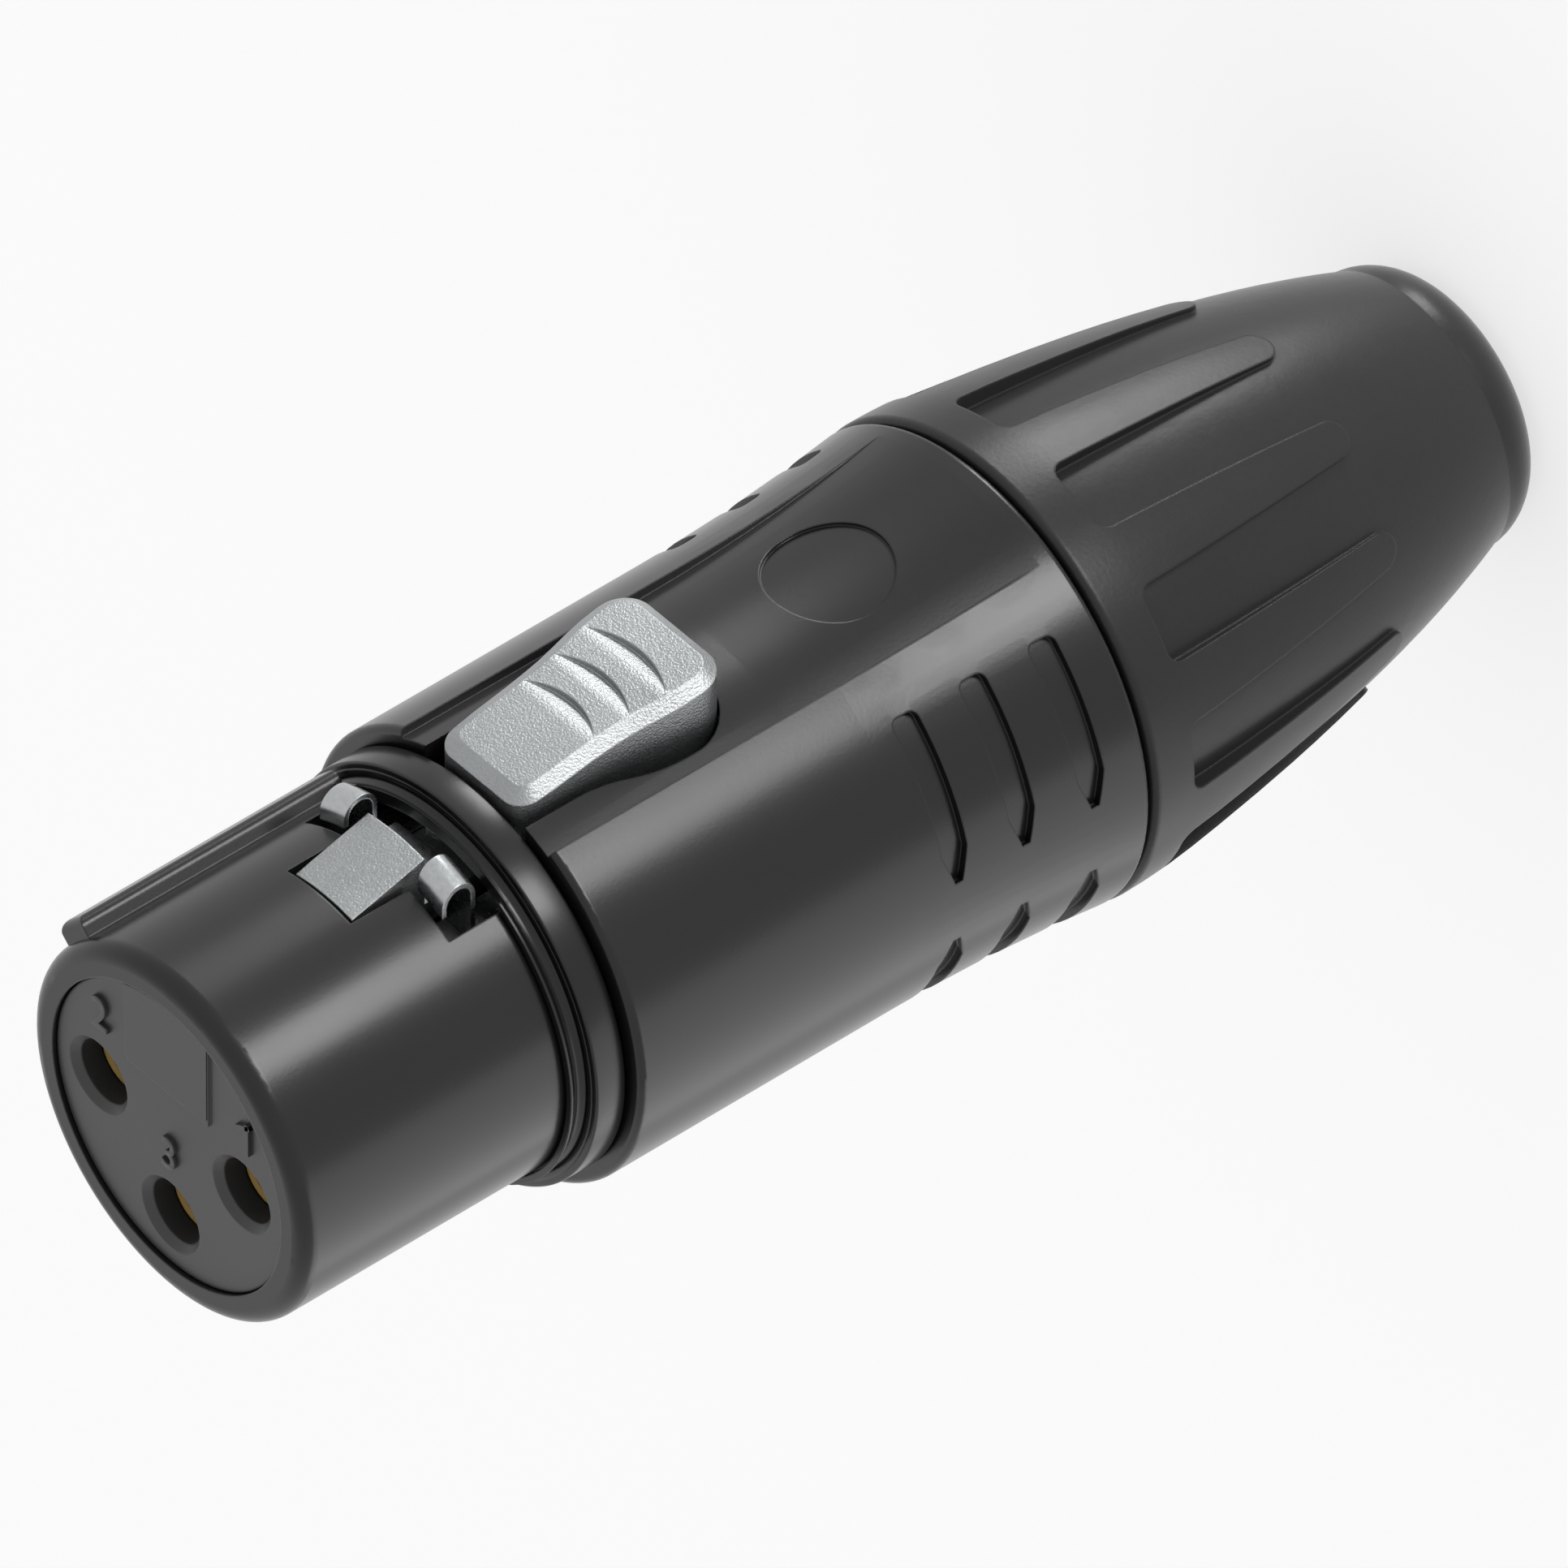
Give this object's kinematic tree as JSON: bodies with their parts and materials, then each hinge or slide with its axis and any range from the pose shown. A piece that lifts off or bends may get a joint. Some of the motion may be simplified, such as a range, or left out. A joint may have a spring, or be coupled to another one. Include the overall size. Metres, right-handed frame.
{
  "type": "female xlr cable connector",
  "caption": "Straight female audio cable connector: latching metal housing, contact carrier with socket contacts, inner cable clamp and a fluted screw-on boot.",
  "frame": {"origin": "centre of the cable entry, on the boot's end plane", "axes": "+Z along the axis towards the mating nose; the latch faces -Y; contact 1 is at -X, contact 2 at +X and contact 3 at +Y"},
  "size_m": [0.0204, 0.0213, 0.063],
  "materials": {
    "housing": "black satin coat on a zinc casting",
    "ring": "black satin plastic",
    "carrier": "dark grey moulded plastic",
    "contact": "gold plated",
    "clip": "bright spring strip",
    "lever": "satin nickel on a zinc casting",
    "steel": "plain",
    "clamp": "natural acetal",
    "nut": "black glass-filled plastic",
    "boot": "black soft-touch"
  },
  "bodies": {
    "boot": {"boot_sleeve": "boot", "gland_nut": "nut"},
    "clamp": {"cable_clamp": "clamp"},
    "connector": {"housing": "housing", "coding_ring": "ring", "contact_carrier": "carrier", "contact_1": "contact", "contact_2": "contact", "contact_3": "contact", "ground_clip": "clip", "latch_pin": "steel", "latch_spring": "steel"},
    "latch": {"latch_lever": "lever"}
  },
  "joints": [
    {"name": "unscrew_turn", "type": "hinge", "parent": "boot", "child": "clamp", "pos_m": [0, 0, 0.0235], "axis": [0, 0, 1], "range_deg": [0, 1440]},
    {"name": "unscrew_rise", "type": "slide", "parent": "clamp", "child": "connector", "axis": [0, 0, 1], "range_m": [0, 0.005]},
    {"name": "latch_press", "type": "hinge", "parent": "connector", "child": "latch", "pos_m": [0, -0.0061, 0.037], "axis": [-1, 0, 0], "range_deg": [0, 5], "stiffness_Nm_per_rad": 0.5, "springref_deg": -5.73, "deforming": ["latch_spring"]}
  ],
  "couplings": [
    {"joint": "unscrew_turn", "follows": "unscrew_rise", "rad_per_m": 5026.5}
  ]
}
